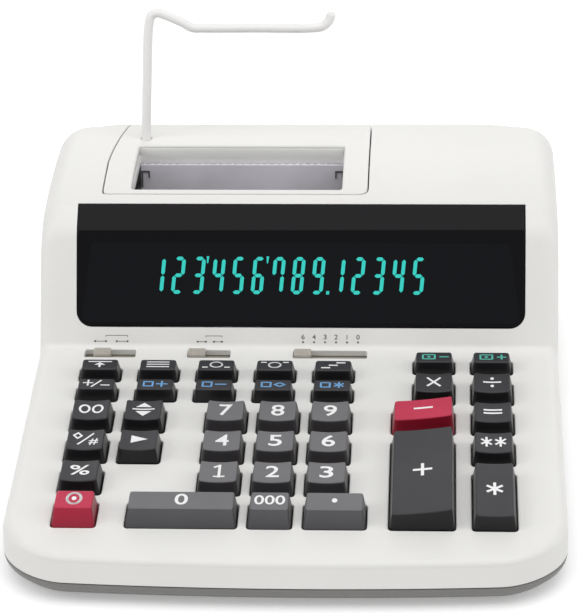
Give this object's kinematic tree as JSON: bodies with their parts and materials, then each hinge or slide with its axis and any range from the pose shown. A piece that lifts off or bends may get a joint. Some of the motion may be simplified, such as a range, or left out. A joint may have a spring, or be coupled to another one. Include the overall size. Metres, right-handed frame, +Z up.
{
  "type": "printing desk calculator",
  "caption": "Wedge-shaped printing desk calculator with a sloping key deck, a steep dark display window, a hinged printer cover with a paper exit and a wire arm for the paper roll.",
  "frame": {"origin": "centre of the footprint, on the surface that the feet stand on", "axes": "+X to the right of the user, +Y from the key deck to the rear, +Z up"},
  "size_m": [0.205, 0.251, 0.1365],
  "materials": {
    "case_white": "fine satin moulded ABS, warm white",
    "case_grey": "fine satin moulded ABS, mid grey",
    "window_black": "polished near-black acrylic",
    "tube_glass": "dark glass envelope",
    "tear_plate": "smoky lavender-grey clear plastic",
    "arm_white": "white coated steel wire",
    "frame_steel": "plated sheet steel",
    "platen_rubber": "black rubber",
    "drum_plastic": "dark moulded plastic",
    "ink_felt": "ink-soaked felt, violet black",
    "motor_steel": "drawn steel can",
    "transformer": "varnished iron core and taped coil",
    "gland_rubber": "black moulded bushing",
    "board": "green circuit board",
    "mat_rubber": "pale silicone rubber",
    "foot_rubber": "black rubber",
    "key_black": "satin charcoal key plastic with printed symbol",
    "key_grey": "satin mid-grey key plastic with printed figure",
    "key_red": "satin raspberry red key plastic with printed symbol",
    "slide_knob": "beige-grey moulded plastic"
  },
  "bodies": {
    "case": {"top_case": "case_white", "bottom_case": "case_grey", "display_window": "window_black", "display_tube": "tube_glass", "printer_frame": "frame_steel", "printer_motor": "motor_steel", "power_transformer": "transformer", "cord_gland": "gland_rubber", "main_board": "board", "key_mat": "mat_rubber", "foot_front_left": "foot_rubber", "foot_front_right": "foot_rubber", "foot_rear_left": "foot_rubber", "foot_rear_right": "foot_rubber"},
    "printer_cover": {"printer_cover": "case_white", "tear_plate": "tear_plate"},
    "paper_arm": {"paper_arm": "arm_white"},
    "platen": {"platen_roller": "platen_rubber"},
    "type_drum": {"type_drum": "drum_plastic"},
    "ink_roller": {"ink_roller": "ink_felt"},
    "key_feed": {"key_feed": "key_black"},
    "key_item": {"key_item": "key_black"},
    "key_cost": {"key_cost": "key_black"},
    "key_sell": {"key_sell": "key_black"},
    "key_margin": {"key_margin": "key_black"},
    "key_sign": {"key_sign": "key_black"},
    "key_memory_add": {"key_memory_add": "key_black"},
    "key_memory_subtract": {"key_memory_subtract": "key_black"},
    "key_memory_subtotal": {"key_memory_subtotal": "key_black"},
    "key_memory_total": {"key_memory_total": "key_black"},
    "key_tax_minus": {"key_tax_minus": "key_black"},
    "key_tax_plus": {"key_tax_plus": "key_black"},
    "key_multiply": {"key_multiply": "key_black"},
    "key_divide": {"key_divide": "key_black"},
    "key_clear_all": {"key_clear_all": "key_black"},
    "key_mark_up": {"key_mark_up": "key_black"},
    "key_equals": {"key_equals": "key_black"},
    "key_subtotal": {"key_subtotal": "key_black"},
    "key_shift_right": {"key_shift_right": "key_black"},
    "key_grand_total": {"key_grand_total": "key_black"},
    "key_percent": {"key_percent": "key_black"},
    "key_clear": {"key_clear": "key_red"},
    "key_minus": {"key_minus": "key_red"},
    "key_plus": {"key_plus": "key_black"},
    "key_total": {"key_total": "key_black"},
    "key_zero": {"key_zero": "key_grey"},
    "key_1": {"key_1": "key_grey"},
    "key_2": {"key_2": "key_grey"},
    "key_3": {"key_3": "key_grey"},
    "key_4": {"key_4": "key_grey"},
    "key_5": {"key_5": "key_grey"},
    "key_6": {"key_6": "key_grey"},
    "key_7": {"key_7": "key_grey"},
    "key_8": {"key_8": "key_grey"},
    "key_9": {"key_9": "key_grey"},
    "key_triple_zero": {"key_triple_zero": "key_grey"},
    "key_point": {"key_point": "key_grey"},
    "power_print_slide": {"power_print_slide": "slide_knob"},
    "rounding_slide": {"rounding_slide": "slide_knob"},
    "decimal_slide": {"decimal_slide": "slide_knob"}
  },
  "joints": [
    {"name": "power_print_slide_move", "type": "slide", "parent": "case", "child": "power_print_slide", "axis": [1, 0, 0], "range_m": [-0.0033, 0.0096]},
    {"name": "rounding_slide_move", "type": "slide", "parent": "case", "child": "rounding_slide", "axis": [1, 0, 0], "range_m": [0, 0.0096]},
    {"name": "decimal_slide_move", "type": "slide", "parent": "case", "child": "decimal_slide", "axis": [1, 0, 0], "range_m": [0, 0.0217]},
    {"name": "printer_cover_hinge", "type": "hinge", "parent": "case", "child": "printer_cover", "pos_m": [0, 0.12332, 0.05775], "axis": [-1, 0, 0], "range_deg": [0, 80]},
    {"name": "paper_arm_swivel", "type": "hinge", "parent": "printer_cover", "child": "paper_arm", "pos_m": [-0.0654, 0.09152, 0.0842], "axis": [0, 0.2588, 0.9659], "range_deg": [0, 90]},
    {"name": "platen_spin", "type": "hinge", "parent": "case", "child": "platen", "pos_m": [0, 0.08112, 0.046], "axis": [1, 0, 0], "continuous": true},
    {"name": "type_drum_spin", "type": "hinge", "parent": "case", "child": "type_drum", "pos_m": [0, 0.06262, 0.046], "axis": [1, 0, 0], "continuous": true},
    {"name": "ink_roller_spin", "type": "hinge", "parent": "case", "child": "ink_roller", "pos_m": [0, 0.06362, 0.03299], "axis": [1, 0, 0], "continuous": true},
    {"name": "key_feed_press", "type": "slide", "parent": "case", "child": "key_feed", "axis": [0, 0.0958, -0.9954], "range_m": [0, 0.0025], "stiffness_N_per_m": 300},
    {"name": "key_item_press", "type": "slide", "parent": "case", "child": "key_item", "axis": [0, 0.0958, -0.9954], "range_m": [0, 0.0025], "stiffness_N_per_m": 300},
    {"name": "key_cost_press", "type": "slide", "parent": "case", "child": "key_cost", "axis": [0, 0.0958, -0.9954], "range_m": [0, 0.0025], "stiffness_N_per_m": 300},
    {"name": "key_sell_press", "type": "slide", "parent": "case", "child": "key_sell", "axis": [0, 0.0958, -0.9954], "range_m": [0, 0.0025], "stiffness_N_per_m": 300},
    {"name": "key_margin_press", "type": "slide", "parent": "case", "child": "key_margin", "axis": [0, 0.0958, -0.9954], "range_m": [0, 0.0025], "stiffness_N_per_m": 300},
    {"name": "key_sign_press", "type": "slide", "parent": "case", "child": "key_sign", "axis": [0, 0.0958, -0.9954], "range_m": [0, 0.0025], "stiffness_N_per_m": 300},
    {"name": "key_memory_add_press", "type": "slide", "parent": "case", "child": "key_memory_add", "axis": [0, 0.0958, -0.9954], "range_m": [0, 0.0025], "stiffness_N_per_m": 300},
    {"name": "key_memory_subtract_press", "type": "slide", "parent": "case", "child": "key_memory_subtract", "axis": [0, 0.0958, -0.9954], "range_m": [0, 0.0025], "stiffness_N_per_m": 300},
    {"name": "key_memory_subtotal_press", "type": "slide", "parent": "case", "child": "key_memory_subtotal", "axis": [0, 0.0958, -0.9954], "range_m": [0, 0.0025], "stiffness_N_per_m": 300},
    {"name": "key_memory_total_press", "type": "slide", "parent": "case", "child": "key_memory_total", "axis": [0, 0.0958, -0.9954], "range_m": [0, 0.0025], "stiffness_N_per_m": 300},
    {"name": "key_tax_minus_press", "type": "slide", "parent": "case", "child": "key_tax_minus", "axis": [0, 0.0958, -0.9954], "range_m": [0, 0.0025], "stiffness_N_per_m": 300},
    {"name": "key_tax_plus_press", "type": "slide", "parent": "case", "child": "key_tax_plus", "axis": [0, 0.0958, -0.9954], "range_m": [0, 0.0025], "stiffness_N_per_m": 300},
    {"name": "key_multiply_press", "type": "slide", "parent": "case", "child": "key_multiply", "axis": [0, 0.0958, -0.9954], "range_m": [0, 0.0025], "stiffness_N_per_m": 300},
    {"name": "key_divide_press", "type": "slide", "parent": "case", "child": "key_divide", "axis": [0, 0.0958, -0.9954], "range_m": [0, 0.0025], "stiffness_N_per_m": 300},
    {"name": "key_clear_all_press", "type": "slide", "parent": "case", "child": "key_clear_all", "axis": [0, 0.0958, -0.9954], "range_m": [0, 0.0025], "stiffness_N_per_m": 300},
    {"name": "key_mark_up_press", "type": "slide", "parent": "case", "child": "key_mark_up", "axis": [0, 0.0958, -0.9954], "range_m": [0, 0.0025], "stiffness_N_per_m": 300},
    {"name": "key_equals_press", "type": "slide", "parent": "case", "child": "key_equals", "axis": [0, 0.0958, -0.9954], "range_m": [0, 0.0025], "stiffness_N_per_m": 300},
    {"name": "key_subtotal_press", "type": "slide", "parent": "case", "child": "key_subtotal", "axis": [0, 0.0958, -0.9954], "range_m": [0, 0.0025], "stiffness_N_per_m": 300},
    {"name": "key_shift_right_press", "type": "slide", "parent": "case", "child": "key_shift_right", "axis": [0, 0.0958, -0.9954], "range_m": [0, 0.0025], "stiffness_N_per_m": 300},
    {"name": "key_grand_total_press", "type": "slide", "parent": "case", "child": "key_grand_total", "axis": [0, 0.0958, -0.9954], "range_m": [0, 0.0025], "stiffness_N_per_m": 300},
    {"name": "key_percent_press", "type": "slide", "parent": "case", "child": "key_percent", "axis": [0, 0.0958, -0.9954], "range_m": [0, 0.0025], "stiffness_N_per_m": 300},
    {"name": "key_clear_press", "type": "slide", "parent": "case", "child": "key_clear", "axis": [0, 0.0958, -0.9954], "range_m": [0, 0.0025], "stiffness_N_per_m": 300},
    {"name": "key_minus_press", "type": "slide", "parent": "case", "child": "key_minus", "axis": [0, 0.0958, -0.9954], "range_m": [0, 0.0025], "stiffness_N_per_m": 350},
    {"name": "key_plus_press", "type": "slide", "parent": "case", "child": "key_plus", "axis": [0, 0.0958, -0.9954], "range_m": [0, 0.0025], "stiffness_N_per_m": 600},
    {"name": "key_total_press", "type": "slide", "parent": "case", "child": "key_total", "axis": [0, 0.0958, -0.9954], "range_m": [0, 0.0025], "stiffness_N_per_m": 450},
    {"name": "key_zero_press", "type": "slide", "parent": "case", "child": "key_zero", "axis": [0, 0.0958, -0.9954], "range_m": [0, 0.0025], "stiffness_N_per_m": 400},
    {"name": "key_1_press", "type": "slide", "parent": "case", "child": "key_1", "axis": [0, 0.0958, -0.9954], "range_m": [0, 0.0025], "stiffness_N_per_m": 300},
    {"name": "key_2_press", "type": "slide", "parent": "case", "child": "key_2", "axis": [0, 0.0958, -0.9954], "range_m": [0, 0.0025], "stiffness_N_per_m": 300},
    {"name": "key_3_press", "type": "slide", "parent": "case", "child": "key_3", "axis": [0, 0.0958, -0.9954], "range_m": [0, 0.0025], "stiffness_N_per_m": 300},
    {"name": "key_4_press", "type": "slide", "parent": "case", "child": "key_4", "axis": [0, 0.0958, -0.9954], "range_m": [0, 0.0025], "stiffness_N_per_m": 300},
    {"name": "key_5_press", "type": "slide", "parent": "case", "child": "key_5", "axis": [0, 0.0958, -0.9954], "range_m": [0, 0.0025], "stiffness_N_per_m": 300},
    {"name": "key_6_press", "type": "slide", "parent": "case", "child": "key_6", "axis": [0, 0.0958, -0.9954], "range_m": [0, 0.0025], "stiffness_N_per_m": 300},
    {"name": "key_7_press", "type": "slide", "parent": "case", "child": "key_7", "axis": [0, 0.0958, -0.9954], "range_m": [0, 0.0025], "stiffness_N_per_m": 300},
    {"name": "key_8_press", "type": "slide", "parent": "case", "child": "key_8", "axis": [0, 0.0958, -0.9954], "range_m": [0, 0.0025], "stiffness_N_per_m": 300},
    {"name": "key_9_press", "type": "slide", "parent": "case", "child": "key_9", "axis": [0, 0.0958, -0.9954], "range_m": [0, 0.0025], "stiffness_N_per_m": 300},
    {"name": "key_triple_zero_press", "type": "slide", "parent": "case", "child": "key_triple_zero", "axis": [0, 0.0958, -0.9954], "range_m": [0, 0.0025], "stiffness_N_per_m": 300},
    {"name": "key_point_press", "type": "slide", "parent": "case", "child": "key_point", "axis": [0, 0.0958, -0.9954], "range_m": [0, 0.0025], "stiffness_N_per_m": 350}
  ],
  "couplings": [
    {"joint": "type_drum_spin", "follows": "platen_spin", "ratio": -1.25},
    {"joint": "ink_roller_spin", "follows": "platen_spin", "ratio": 2}
  ]
}
